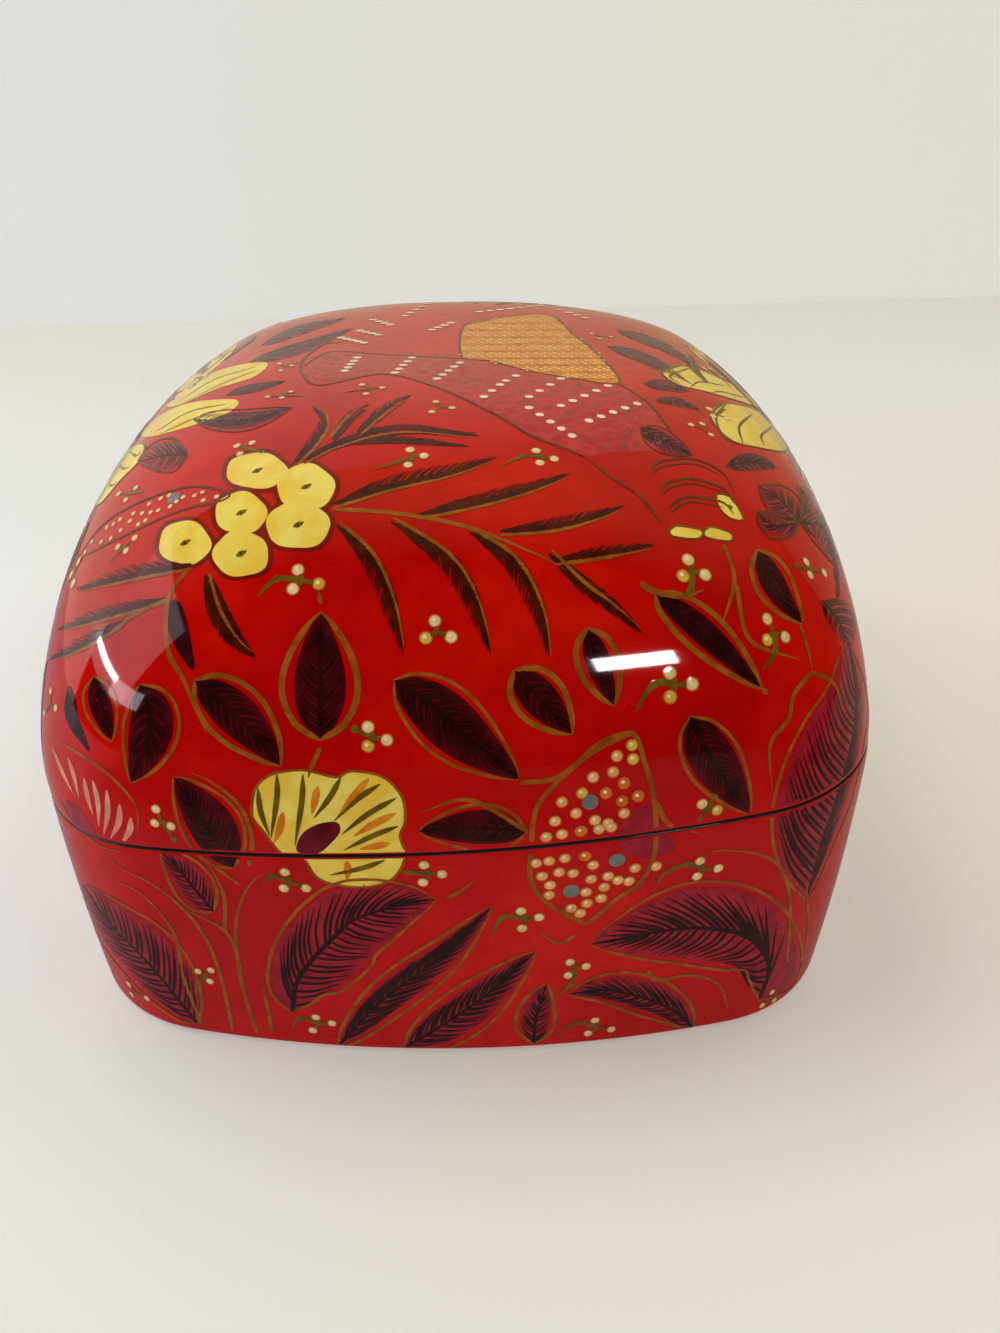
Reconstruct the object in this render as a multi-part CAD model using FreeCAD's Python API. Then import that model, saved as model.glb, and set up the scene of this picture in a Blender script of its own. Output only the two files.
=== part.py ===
import FreeCAD, Part
import math
import os

# A Kashmiri papier-mache box, in millimetres. The origin is the middle of the flat underside, +Z is up,
# X runs across the box and Y along it. The shell is pulped and pasted paper laid over one closed mould, so
# it is modelled as one closed cushion, hollowed, and then sawn into base and lid as the maker does. The saw
# cut runs a little uphill across the box. A strip glued inside the base stands proud and locates the lid.

# Outside of the closed box
box_width = 90.0
box_length = 115.0
box_height = 56.0
belly_height = 25.2
side_bow = 8.9
end_bow = 8.0
corner_radius = 16.6
foot_corner_radius = 15.5
foot_side_inset = 1.4
foot_end_inset = 0.3
foot_bevel = 0.7

# Form of the two halves: how the wall turns in below the belly, and how the lid closes above it
wall_curve = 2.2
lid_plan_power = 4.6
lid_rise_power = 1.65
top_roundness_share = 0.95
roundness_power = 4

# Shell
wall = 3.0
floor = 3.4
floor_bevel = 2.0

# Saw cut between base and lid. It crosses the belly in the middle of the box and climbs to the right, seen
# from the front end. Its sharp outer edges are rubbed off.
cut_climb = 4.9
rim_bevel = 0.3

# Strip glued inside the base that locates the lid
strip_thickness = 1.5
strip_below_cut = 8.0
strip_above_cut = 4.0
glue_line = 0.05
lid_play = 0.3
strip_lead_in = 0.5
strip_joint_gap = 0.4

# Points on each outline, number of sections in each loft, and how far cutting tools run past what they cut
outline_points = 48
wall_sections = 3
lid_sections = 9
last_station_share = 0.9
overrun = 10.0

half_width = box_width / 2
half_length = box_length / 2
lid_height = box_height - belly_height


def bow_radius(half_span, bow):
    """Radius of an arc that rises by bow over two half spans."""
    return (half_span ** 2 + bow ** 2) / (2 * bow)


def tangent_centre(side_x, side_radius, end_y, end_radius, corner):
    """Centre of the corner arc that lies inside a side arc and an end arc and touches both."""
    reach_side = side_radius - corner
    reach_end = end_radius - corner
    away = math.hypot(side_x, end_y)
    along = (reach_side ** 2 - reach_end ** 2 + away ** 2) / (2 * away)
    across = math.sqrt(reach_side ** 2 - along ** 2)
    step_x = -side_x / away
    step_y = end_y / away
    return side_x + along * step_x - across * step_y, along * step_y + across * step_x


def cushion_outline(half_x, half_y, corner, height):
    """Closed plan outline: four bowed sides and four round corners, all tangent, drawn as one smooth curve."""
    side_radius = bow_radius(half_y, side_bow * half_y / half_length)
    end_radius = bow_radius(half_x, end_bow * half_x / half_width)
    side_x = half_x - side_radius
    end_y = half_y - end_radius
    centre_x, centre_y = tangent_centre(side_x, side_radius, end_y, end_radius, corner)
    side_turn = math.atan2(centre_y, centre_x - side_x)
    end_turn = math.atan2(centre_y - end_y, centre_x)

    def at(x, y, radius, turn):
        return FreeCAD.Vector(x + radius * math.cos(turn), y + radius * math.sin(turn), height)

    def mirrored(span, flip_x, flip_y):
        return [FreeCAD.Vector(point.x * flip_x, point.y * flip_y, point.z) for point in span]

    corner_start = at(centre_x, centre_y, corner, side_turn)
    corner_end = at(centre_x, centre_y, corner, end_turn)
    quarter = [
        [at(side_x, 0, side_radius, 0), at(side_x, 0, side_radius, side_turn / 2), corner_start],
        [corner_start, at(centre_x, centre_y, corner, (side_turn + end_turn) / 2), corner_end],
        [corner_end, at(0, end_y, end_radius, (end_turn + math.pi / 2) / 2), FreeCAD.Vector(0, half_y, height)],
    ]
    spans = []
    for flip_x, flip_y in ((1, 1), (-1, 1), (-1, -1), (1, -1)):
        turned = [mirrored(span, flip_x, flip_y) for span in quarter]
        if flip_x * flip_y < 0:
            turned = [span[::-1] for span in turned[::-1]]
        spans += turned
    arcs = Part.Wire([Part.Arc(*span).toShape() for span in spans])
    curve = Part.BSplineCurve()
    curve.interpolate(
        Points=arcs.discretize(Number=outline_points + 1)[:-1],
        Parameters=[float(point) for point in range(outline_points + 1)],
        PeriodicFlag=True,
    )
    return Part.Wire(curve.toShape())


def wall_outline(height, inward):
    """Outline of the base wall at a height, drawn in from the outside by inward."""
    turn_in = max(0, 1 - height / belly_height) ** wall_curve
    corner = corner_radius + (foot_corner_radius - corner_radius) * turn_in
    half_x = half_width - foot_side_inset * turn_in - inward
    half_y = half_length - foot_end_inset * turn_in - inward
    return cushion_outline(half_x, half_y, corner - inward, height)


def lid_outline(station, inward):
    """Outline of the lid at a station on its climb: 0 at the belly, 1 at the middle of the crown."""
    share = 1 - station ** 2
    climb = (1 - share ** lid_plan_power) ** (1 / lid_rise_power)
    half_x = (half_width - inward) * share
    half_y = (half_length - inward) * share
    rounding = 1 - share ** roundness_power
    corner_share = (corner_radius - inward) / (half_width - inward)
    corner = half_x * (corner_share + (top_roundness_share - corner_share) * rounding)
    return cushion_outline(half_x, half_y, corner, belly_height + (lid_height - inward) * climb)


def cushion(inward, bottom):
    """The whole closed form, drawn in by inward all round, standing on the height bottom."""
    sections = []
    for step in range(wall_sections):
        sections.append(wall_outline(bottom + (belly_height - bottom) * step / wall_sections, inward))
    for step in range(lid_sections + 1):
        sections.append(lid_outline(last_station_share * step / lid_sections, inward))
    return Part.makeLoft(sections, True)


def above_cut(lift):
    """Everything above a plane parallel to the saw cut and lifted from it by lift."""
    reach_x = half_width + overrun
    reach_y = half_length + overrun
    top = box_height + overrun
    slope = cut_climb / box_width
    middle = belly_height + lift
    corners = [
        (-reach_x, middle - slope * reach_x),
        (reach_x, middle + slope * reach_x),
        (reach_x, top),
        (-reach_x, top),
    ]
    points = [FreeCAD.Vector(x, -reach_y, z) for x, z in corners]
    face = Part.Face(Part.makePolygon(points + points[:1]))
    return face.extrude(FreeCAD.Vector(0, 2 * reach_y, 0))


def lowest_edges(body):
    """Edges round the flat face that a body stands on."""
    return min(body.Faces, key=lambda face: face.CenterOfMass.z).OuterWire.Edges


def sawn_edges(body, lift):
    """Outer edges of the flat face that lies nearest to the plane of the saw cut, lifted by lift."""
    flat = [face for face in body.Faces if isinstance(face.Surface, Part.Plane)]
    return min(flat, key=lambda face: abs(face.CenterOfMass.z - belly_height - lift)).OuterWire.Edges


def closed_shell():
    """The hollow box before it is sawn, bevelled at the foot outside and round the floor inside."""
    outside = cushion(0, 0)
    hollow = cushion(wall, floor)
    outside = outside.makeChamfer(foot_bevel, lowest_edges(outside))
    hollow = hollow.makeChamfer(floor_bevel, lowest_edges(hollow))
    return outside.cut(hollow)


def base_shell(shell):
    half = shell.cut(above_cut(0))
    return half.makeChamfer(rim_bevel, sawn_edges(half, 0))


def lid_shell(shell):
    half = shell.common(above_cut(0))
    return half.makeChamfer(rim_bevel, sawn_edges(half, 0))


def locating_strip():
    """A bent strip: it fits the base wall up to the cut, and is pared back above it for the lid."""
    core = cushion(wall + lid_play + strip_thickness, floor)
    seated = cushion(wall + glue_line, floor).cut(above_cut(0)).common(above_cut(-strip_below_cut))
    standing = cushion(wall + lid_play, floor).common(above_cut(0)).cut(above_cut(strip_above_cut))
    standing = standing.makeChamfer(strip_lead_in, sawn_edges(standing, strip_above_cut))
    solid = seated.fuse(standing)
    joint = Part.makeBox(
        strip_joint_gap,
        half_length + overrun,
        box_height,
        FreeCAD.Vector(-strip_joint_gap / 2, 0, 0),
    )
    return solid.cut(core).cut(joint)


def main():
    os.makedirs("parts", exist_ok=True)
    shell = closed_shell()
    nodes = {
        "base_shell": base_shell(shell),
        "lid_shell": lid_shell(shell),
        "locating_strip": locating_strip(),
    }
    for name, shape in nodes.items():
        shape.exportStep("parts/" + name + ".step")
        print(name, shape.isValid(), len(shape.Solids), round(shape.Volume), shape.BoundBox)


main()
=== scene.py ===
"""The looks of a Kashmiri papier mache box: a red lacquered cushion with painted ornament and a lift-off lid."""

import math
import random

import bmesh
import bpy
import numpy as np
from mathutils import Matrix, Vector
from mathutils.bvhtree import BVHTree
from mathutils.geometry import delaunay_2d_cdt


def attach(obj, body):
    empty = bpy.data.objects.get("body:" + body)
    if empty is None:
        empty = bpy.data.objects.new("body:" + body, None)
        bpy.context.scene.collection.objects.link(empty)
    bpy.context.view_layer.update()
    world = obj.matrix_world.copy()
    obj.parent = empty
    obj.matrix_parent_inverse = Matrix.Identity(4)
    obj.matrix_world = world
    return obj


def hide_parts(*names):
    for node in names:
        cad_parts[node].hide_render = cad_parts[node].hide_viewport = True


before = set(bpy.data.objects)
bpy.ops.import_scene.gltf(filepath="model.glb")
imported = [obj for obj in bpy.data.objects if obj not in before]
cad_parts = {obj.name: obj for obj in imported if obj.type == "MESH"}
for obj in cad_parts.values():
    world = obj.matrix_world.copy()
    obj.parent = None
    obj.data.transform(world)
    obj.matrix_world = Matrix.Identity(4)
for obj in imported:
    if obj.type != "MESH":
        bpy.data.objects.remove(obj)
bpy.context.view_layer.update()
scene = bpy.context.scene
scene.view_settings.view_transform = "Standard"

MM = 0.001


# The closed cushion. Paper pulp and paper are pasted over one mould, rubbed smooth and sawn into two halves.
# Both halves follow one rule: bowed sides that meet in round corners, a wall that turns in a little to the
# foot, and a lid that climbs over a full shoulder to a flat crown.
box_sizes = {
    "Width": 89.98 * MM,
    "Length": 115 * MM,
    "Height": 55.92 * MM,
    "Belly height": 25.2 * MM,
    "Side bow": 8.9 * MM,
    "End bow": 8 * MM,
    "Corner radius": 16.6 * MM,
    "Foot corner radius": 15.5 * MM,
    "Foot side inset": 1.4 * MM,
    "Foot end inset": 0.3 * MM,
    "Cut climb": 4.9 * MM,
}
wall_sizes = {
    "Wall": 3 * MM,
    "Floor": 3.4 * MM,
    "Floor round": 2.5 * MM,
    "Foot round": 0.7 * MM,
    "Rim round": 0.2 * MM,
}
shell_sizes = {**box_sizes, **wall_sizes}
wall_curve = 2.2
lid_plan_power = 4.6
lid_rise_power = 1.65
top_roundness = 0.95
roundness_power = 4
steps_around = 360
weld_distance = 0.002 * MM
crown_share = 0.2
tiny = 1e-6


class Socket:
    """An output of a node. Arithmetic on it adds the Math nodes that work it out."""

    def __init__(self, web, link):
        self.web = web
        self.link = link

    def of(self, name):
        return Socket(self.web, self.link.node.outputs[name])

    def math(self, operation, *others):
        return self.web.add("ShaderNodeMath", [self, *others], operation=operation)

    def __add__(self, other):
        return self.math("ADD", other)

    def __mul__(self, other):
        return self.math("MULTIPLY", other)

    __rmul__ = __mul__

    def __sub__(self, other):
        return self.math("SUBTRACT", other)

    def __rsub__(self, other):
        return self.math("MULTIPLY", -1) + other

    def __truediv__(self, other):
        return self.math("DIVIDE", other)

    def __rtruediv__(self, other):
        return self.web.add("ShaderNodeMath", [other, self], operation="DIVIDE")

    def __pow__(self, other):
        return self.math("POWER", other)


class Web:
    """A node tree that is written as expressions. Every node but plain arithmetic comes from add()."""

    def __init__(self, tree):
        self.tree = tree
        tree.nodes.clear()

    def add(self, kind, sockets=(), **settings):
        """A new node with values or links in its sockets. It gives the node's first output, if it has one."""
        made = self.tree.nodes.new(kind)
        for name, value in settings.items():
            if name == "stops":
                set_stops(made.color_ramp, value)
            else:
                setattr(made, name, value)
        pairs = sockets.items() if isinstance(sockets, dict) else enumerate(sockets)
        for key, value in pairs:
            if isinstance(value, Socket):
                self.tree.links.new(value.link, made.inputs[key])
            elif value is not None:
                made.inputs[key].default_value = value
        return Socket(self, made.outputs[0]) if made.outputs else None

    def choose(self, test, yes, no):
        """yes where test is 1, and no where it is 0."""
        return test * yes + (1 - test) * no


def set_stops(ramp, stops):
    while len(ramp.elements) < len(stops):
        ramp.elements.new(1)
    for element, (place, colour) in zip(ramp.elements, stops):
        element.position = place
        element.color = (*colour, 1)


def form_web(name, inputs, outputs):
    """A Geometry Nodes tree with named inputs, {name: (socket kind, value)}, and outputs, {name: kind}."""
    tree = bpy.data.node_groups.new(name, "GeometryNodeTree")
    for label, (kind, value) in inputs.items():
        socket = tree.interface.new_socket(label, in_out="INPUT", socket_type=kind)
        if value is not None:
            socket.default_value = value
    for label, kind in outputs.items():
        tree.interface.new_socket(label, in_out="OUTPUT", socket_type=kind)
    web = Web(tree)
    given = web.add("NodeGroupInput")
    return web, {label: given.of(label) for label in inputs}


def outline_tree():
    """Plan outline of the cushion: the point at a share of the way round, on arcs that are all tangent."""
    labels = ("Around", "Half X", "Half Y", "Corner", "Side sag", "End sag")
    inputs = dict.fromkeys(labels, ("NodeSocketFloat", 0.0))
    web, given = form_web("cushion_outline", inputs, dict.fromkeys("XY", "NodeSocketFloat"))
    half_x, half_y, corner = given["Half X"], given["Half Y"], given["Corner"]
    side_sag, end_sag = given["Side sag"], given["End sag"]
    side_radius = (half_y * half_y + side_sag * side_sag) / (side_sag * 2)
    end_radius = (half_x * half_x + end_sag * end_sag) / (end_sag * 2)
    side_x = half_x - side_radius
    end_y = half_y - end_radius
    reach_side = side_radius - corner
    reach_end = end_radius - corner
    away = (side_x * side_x + end_y * end_y).math("SQRT")
    along = (reach_side * reach_side - reach_end * reach_end + away * away) / (away * 2)
    across = (reach_side * reach_side - along * along).math("SQRT")
    centre_x = side_x - along * side_x / away - across * end_y / away
    centre_y = along * end_y / away - across * side_x / away
    side_turn = centre_y.math("ARCTAN2", centre_x - side_x)
    end_turn = (centre_y - end_y).math("ARCTAN2", centre_x)
    side_run = side_radius * side_turn
    corner_run = corner * (end_turn - side_turn)
    end_run = end_radius * (math.pi / 2 - end_turn)

    quarters = given["Around"] * 4
    quadrant = quarters.math("FLOOR").math("MINIMUM", 3)
    odd = quadrant.math("MODULO", 2)
    share = quarters - quadrant
    run = web.choose(odd, 1 - share, share) * (side_run + corner_run + end_run)
    on_side = run.math("LESS_THAN", side_run)
    on_end = run.math("GREATER_THAN", side_run + corner_run)
    side_angle = run / side_radius
    corner_angle = side_turn + (run - side_run) / corner
    end_angle = end_turn + (run - side_run - corner_run) / end_radius

    def on_arcs(turn, side_centre, end_centre, corner_centre):
        """One coordinate of the point, on the arc of the three that it lies on."""
        side = side_radius * side_angle.math(turn) + side_centre
        end = end_radius * end_angle.math(turn) + end_centre
        return web.choose(on_side, side, web.choose(on_end, end, corner * corner_angle.math(turn) + corner_centre))

    x = on_arcs("COSINE", side_x, 0, centre_x)
    y = on_arcs("SINE", 0, end_y, centre_y)
    left = (quadrant - 1.5).math("ABSOLUTE").math("LESS_THAN", 1)
    front = quadrant.math("GREATER_THAN", 1.5)
    web.add("NodeGroupOutput", {"X": x * (1 - left * 2), "Y": y * (1 - front * 2)})
    return web.tree


cushion_outline = outline_tree()


class Form:
    """The rule of the cushion in one Geometry Nodes tree: its points by share round, height and depth."""

    def __init__(self, name):
        inputs = {label: ("NodeSocketFloat", value) for label, value in shell_sizes.items()}
        inputs["Outside"] = inputs["Inside"] = ("NodeSocketMaterial", None)
        self.web, self.size = form_web(name, inputs, {"Geometry": "NodeSocketGeometry"})
        size = self.size
        self.half_x = size["Width"] / 2
        self.half_y = size["Length"] / 2
        self.lid_height = size["Height"] - size["Belly height"]

    def share_at(self, height, inward):
        """How wide the lid still is at a height, as a share of its width at the belly."""
        climb = ((height - self.size["Belly height"]) / (self.lid_height - inward)).math("MAXIMUM", 0)
        return (1 - climb ** lid_rise_power) ** (1 / lid_plan_power)

    def outline(self, around, height, share, inward):
        size = self.size
        turn_in = (1 - height / size["Belly height"]).math("MAXIMUM", 0) ** wall_curve
        lid_half_x = (self.half_x - inward) * share
        half_x = lid_half_x - size["Foot side inset"] * turn_in
        half_y = (self.half_y - inward) * share - size["Foot end inset"] * turn_in
        rounding = 1 - share ** roundness_power
        corner_share = (size["Corner radius"] - inward) / (self.half_x - inward)
        corner = lid_half_x * (corner_share + (top_roundness - corner_share) * rounding)
        corner = corner + (size["Foot corner radius"] - size["Corner radius"]) * turn_in
        point = self.web.add(
            "GeometryNodeGroup",
            {
                "Around": around,
                "Half X": half_x,
                "Half Y": half_y,
                "Corner": corner,
                "Side sag": size["Side bow"] * half_y / self.half_y,
                "End sag": size["End bow"] * half_x / self.half_x,
            },
            node_tree=cushion_outline,
        )
        return point.of("X"), point.of("Y")

    def cut_height(self, around, inward):
        """Height of the skew saw cut on the skin that lies inward of the outside."""
        belly = self.size["Belly height"]
        x = self.outline(around, belly, 1, inward)[0]
        return belly + x * self.size["Cut climb"] / self.size["Width"]

    def at_cut(self, around, inward, over=0):
        """A place of patch() by its height over the saw cut."""
        height = self.cut_height(around, inward) + over
        return height, self.share_at(height, inward), inward, 1

    def patch(self, rows, place, material):
        """A strip of faces right round the box. place(around, along) gives height, share, inward and scale."""
        grid_size = {"Size X": 1, "Size Y": 1, "Vertices X": steps_around + 1, "Vertices Y": rows + 1}
        grid = self.web.add("GeometryNodeMeshGrid", grid_size)
        spot = self.web.add("ShaderNodeSeparateXYZ", [grid.of("UV Map")])
        around, along = spot.of("X"), spot.of("Y")
        height, share, inward, scale = place(around, along)
        x, y = self.outline(around, height, share, inward)
        where = self.web.add("ShaderNodeCombineXYZ", [x * scale, y * scale, height])
        placed = self.web.add("GeometryNodeSetPosition", {"Geometry": grid, "Position": where})
        return self.web.add("GeometryNodeSetMaterial", {"Geometry": placed, "Material": material})

    def close(self, *strips):
        """Makes the strips, each (rows, place, material) of patch(), joins them and welds their seams and poles."""
        patches = [self.patch(*strip) for strip in strips]
        join = self.web.tree.nodes.new("GeometryNodeJoinGeometry")
        for patch in reversed(patches):
            self.web.tree.links.new(patch.link, join.inputs[0])
        joined = Socket(self.web, join.outputs[0])
        welded = self.web.add("GeometryNodeMergeByDistance", {"Geometry": joined, "Distance": weld_distance})
        smooth = self.web.add("GeometryNodeSetShadeSmooth", {"Geometry": welded})
        real = self.web.add("GeometryNodeRealizeInstances", {"Geometry": smooth})
        self.web.add("NodeGroupOutput", [real])
        return self.web.tree


def quarter_round(along, radius):
    """Depth and height of a quarter round, from its flat end to its upright end."""
    turn = along * (math.pi / 2)
    return radius * (1 - turn.math("SINE")), radius * (1 - turn.math("COSINE"))


def base_tree():
    """The base as patches, from the middle of its underside up, over the rim and down to the middle of its floor."""
    form = Form("base_shell")
    size = form.size
    wall, floor, foot, rim = size["Wall"], size["Floor"], size["Foot round"], size["Rim round"]
    floor_round = size["Floor round"]

    def underside(around, along):
        return 0, 1, foot, along

    def foot_edge(around, along):
        inward, height = quarter_round(along, foot)
        return height, 1, inward, 1

    def outer_wall(around, along):
        top = form.cut_height(around, 0) - rim
        height = foot + (top - foot) * along
        return height, form.share_at(height, 0), 0, 1

    def outer_rim(around, along):
        drop, inward = quarter_round(along, rim)
        return form.at_cut(around, inward, drop * -1)

    def rim_face(around, along):
        return form.at_cut(around, rim + (wall - rim) * along)

    def inner_wall(around, along):
        top = form.cut_height(around, wall)
        height = top + (floor + floor_round - top) * along
        return height, form.share_at(height, wall), wall, 1

    def floor_edge(around, along):
        height, inward = quarter_round(along, floor_round)
        return floor + height, 1, wall + inward, 1

    def floor_face(around, along):
        return floor, 1, wall + floor_round, 1 - along

    outside, inside = size["Outside"], size["Inside"]
    # The outer round of the rim takes the black inside lacquer: partly painted shade that darkens the seam line.
    return form.close(
        (10, underside, outside), (4, foot_edge, outside), (28, outer_wall, outside), (4, outer_rim, inside),
        (4, rim_face, inside), (20, inner_wall, inside), (6, floor_edge, inside), (10, floor_face, inside),
    )


def lid_tree():
    """The lid as patches, from the middle of its hollow down, under the rim and up to its crown."""
    form = Form("lid_shell")
    size = form.size
    wall, rim, height, belly = size["Wall"], size["Rim round"], size["Height"], size["Belly height"]

    def dome(around, along, inward, lift):
        """A row of the dome. Near the crown the share comes from its limit, because the height is flat there."""
        bottom = form.cut_height(around, inward) + lift
        top = height - inward
        plain = 1 - along * along
        climb = (1 - plain ** lid_plan_power) ** (1 / lid_rise_power)
        stretch = (top - bottom) / (top - belly)
        rise = (1 - stretch * (1 - climb)).math("MAXIMUM", 0)
        exact = (1 - rise ** lid_rise_power) / (1 - climb ** lid_rise_power).math("MAXIMUM", tiny)
        ratio = form.web.choose(plain.math("LESS_THAN", crown_share), stretch, exact)
        return bottom + (top - bottom) * climb, plain * ratio ** (1 / lid_plan_power), inward, 1

    def inner_dome(around, along):
        return dome(around, 1 - along, wall, 0)

    def rim_face(around, along):
        return form.at_cut(around, wall + (rim - wall) * along)

    def outer_rim(around, along):
        return form.at_cut(around, *quarter_round(along, rim))

    def outer_dome(around, along):
        return dome(around, along, 0, rim)

    outside, inside = size["Outside"], size["Inside"]
    # The outer round of the rim takes the black inside lacquer: partly painted shade that darkens the seam line.
    return form.close(
        (50, inner_dome, inside), (4, rim_face, inside), (4, outer_rim, inside), (72, outer_dome, outside)
    )


def grown(name, tree, values, source=None):
    """A plain mesh object from a Geometry Nodes tree. The inputs are set before it is first worked out."""
    blank = bpy.data.objects.new(name + "_source", source or bpy.data.meshes.new(name + "_source"))
    scene.collection.objects.link(blank)
    modifier = blank.modifiers.new(name, "NODES")
    modifier.node_group = tree
    for item in tree.interface.items_tree:
        if item.item_type == "SOCKET" and item.in_out == "INPUT" and item.name in values:
            modifier[item.identifier] = values[item.name]
    worked_out = blank.evaluated_get(bpy.context.evaluated_depsgraph_get())
    mesh = bpy.data.meshes.new_from_object(worked_out)
    bpy.data.objects.remove(blank)
    mesh.name = name
    made = bpy.data.objects.new(name, mesh)
    scene.collection.objects.link(made)
    return made


def srgb(red, green, blue):
    """A colour named by its screen values, 0 to 255, as linear light."""
    parts = (red / 255, green / 255, blue / 255)
    return tuple(((part + 0.055) / 1.055) ** 2.4 if part > 0.04 else part / 12.92 for part in parts)


def surface(name, roughness, coat=1.0):
    """A new material with its node web, the sockets of its Principled BSDF and its object coordinates."""
    material = bpy.data.materials.new(name)
    material.use_nodes = True
    web = Web(material.node_tree)
    finish = {"Roughness": roughness, "Specular IOR Level": 0.5 - coat * 0.5}
    finish.update({"Coat Weight": coat, "Coat Roughness": 0.045})
    shader = web.add("ShaderNodeBsdfPrincipled", finish)
    web.add("ShaderNodeOutputMaterial", {"Surface": shader})
    where = web.add("ShaderNodeTexCoord").of("Object")
    return material, web, shader.link.node.inputs, where


def varnish(web, inputs, where):
    """The faintly uneven skin that every coat of the box shares under its clear varnish."""
    skin = noise(web, where, 5 * MM, 1.0) * 0.85 + noise(web, where, 0.6 * MM) * 0.15
    bump = web.add("ShaderNodeBump", {"Strength": 0.2, "Distance": 0.1 * MM, "Height": skin})
    plug(web, inputs, "Normal", bump)


def noise(web, where, size, detail=2.0):
    """Soft noise of that feature size in metres, around 0.5."""
    return web.add("ShaderNodeTexNoise", {"Vector": where, "Scale": 1 / size, "Detail": detail}).of("Fac")


def ramp(web, value, *stops):
    """A colour that changes with the value, by stops of (place, colour)."""
    return web.add("ShaderNodeValToRGB", [value], stops=stops)


def plug(web, inputs, name, value):
    web.tree.links.new(value.link, inputs[name])


def lacquer(name, deep, plain, warm, roughness, coat):
    """Brushed lacquer: three close tones that drift over the box, and a faintly uneven skin under the varnish."""
    material, web, inputs, where = surface(name, roughness, coat)
    drift = noise(web, where, 16 * MM) * 0.7 + noise(web, where, 2.6 * MM) * 0.3
    plug(web, inputs, "Base Color", ramp(web, drift, (0.36, deep), (0.5, plain), (0.64, warm)))
    varnish(web, inputs, where)
    return material


# The base is the lower half of the moulding, lacquered red outside and black inside. Its rim is flat where the
# saw went through, and its foot is rubbed round. The small round at the outer edge of the rim is black too: the
# dark seam line is partly the black sawn edge and partly painted shade for the shadow in the gap.
red = lacquer("red_lacquer", srgb(190, 3, 3), srgb(205, 7, 4), srgb(218, 20, 5), 0.4, 1.0)
black = lacquer("black_lacquer", srgb(22, 17, 16), srgb(30, 24, 22), srgb(40, 32, 28), 0.5, 0.35)
shell_values = {**shell_sizes, "Outside": red, "Inside": black}
base = grown("base_lacquer", base_tree(), shell_values)
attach(base, "base")
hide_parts("base_shell")


# The locating strip is bent card, glued inside the mouth of the base and pared to fit the lid. It is brushed
# with the same black lacquer as the inside.
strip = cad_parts["locating_strip"]
strip.data.materials.clear()
strip.data.materials.append(black)


# The lid is the upper half of the same moulding. It is lacquered like the base and lifts straight off.
lid = grown("lid_lacquer", lid_tree(), shell_values)
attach(lid, "lid")
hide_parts("lid_shell")


# The ornament is brushed on in the Kashmiri way, in body colour under clear varnish. A motif is drawn in the
# pixels of the photograph and lands where the camera's ray meets the box; the same motifs, seen from turned
# cameras, dress the sides that the photograph doesn't show. Steps and widths are in those pixels.
picture_size = (1000, 1333)
sensor_width = 36
lens_length = 27.25
eye = Vector((2.611, -124.464, 81.433)) * MM
gaze = Vector((0.01547, 0.86943, -0.49381)).normalized()
pixels_per_depth = lens_length / sensor_width * picture_size[1]
groove = 0.35 * MM
brush_step = 3.0
wash_step = 6.0
longest_side = 1.2 * MM
thinnest = 0.02 * MM
stroke_crown = 0.012 * MM
tip_points = 4
even = 0.02
hand = random.Random(11)


def tree_of(thing):
    """The faces of a mesh object, ready for rays."""
    places = [vertex.co for vertex in thing.data.vertices]
    return BVHTree.FromPolygons(places, [face.vertices[:] for face in thing.data.polygons])


skins = (tree_of(lid), tree_of(base))
cut_slope = box_sizes["Cut climb"] / box_sizes["Width"]


def above_cut(point):
    """Height over the saw cut."""
    return point.z - box_sizes["Belly height"] - point.x * cut_slope


class View:
    """A camera that the painter looks from. Places are picture pixels: (across, down)."""

    def __init__(self, turn=0, away=0, left=-100, right=1100, top=-100):
        self.left, self.right, self.top = left, right, top
        spin = Matrix.Rotation(math.radians(turn), 3, "Z")
        self.gaze = spin @ gaze
        self.eye = spin @ (eye - gaze * away)
        self.across = self.gaze.cross(Vector((0, 0, 1))).normalized()
        self.up = self.across.cross(self.gaze)

    def sees(self, places):
        """True if a motif with these places is painted from this view."""
        return all(self.left < place[0] < self.right and place[1] > self.top for place in places)

    def drawn_in(self, place, middle):
        """The place itself, or the first one on the way to middle that meets the box."""
        for step in range(20):
            closer = np.array(place) + (middle - np.array(place)) * step / 20
            if self.touch(closer):
                break
        return closer

    def touch(self, place):
        """Where the brush meets the box: (point, normal, metres per pixel), or None beside it."""
        across = (place[0] - picture_size[0] / 2) / pixels_per_depth
        down = (place[1] - picture_size[1] / 2) / pixels_per_depth
        ray = (self.gaze + self.across * across - self.up * down).normalized()
        hits = [hit for hit in (skin.ray_cast(self.eye, ray) for skin in skins) if hit[0] is not None]
        if not hits:
            return None
        point, normal, _, distance = min(hits, key=lambda hit: hit[3])
        return point, normal, distance * ray.dot(self.gaze) / pixels_per_depth


def smooth_line(points, closed=False):
    """Catmull-Rom line through the points, sampled about every brush_step pixels."""
    points = [np.array(point, float) for point in points]
    count = len(points)
    if count == 2 and not closed:
        points = [points[0], (points[0] + points[1]) / 2, points[1]]
        count = 3
    line = []
    spans = count if closed else count - 1
    for span in range(spans):
        if closed:
            before, start, end, after = (points[(span + shift) % count] for shift in (-1, 0, 1, 2))
        else:
            start, end = points[span], points[span + 1]
            before = points[span - 1] if span else start * 2 - end
            after = points[span + 2] if span + 2 < count else end * 2 - start
        steps = max(1, round(float(np.hypot(*(end - start))) / brush_step))
        for step in range(steps):
            t = step / steps
            line.append(
                0.5
                * (
                    2 * start
                    + (end - before) * t
                    + (2 * before - 5 * start + 4 * end - after) * t * t
                    + (3 * start - before - 3 * end + after) * t * t * t
                )
            )
    if not closed:
        line.append(points[-1])
    return line


# What has been painted so far, by (body, paint).
strokes = {}
washes = {}
dots = {}


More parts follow.
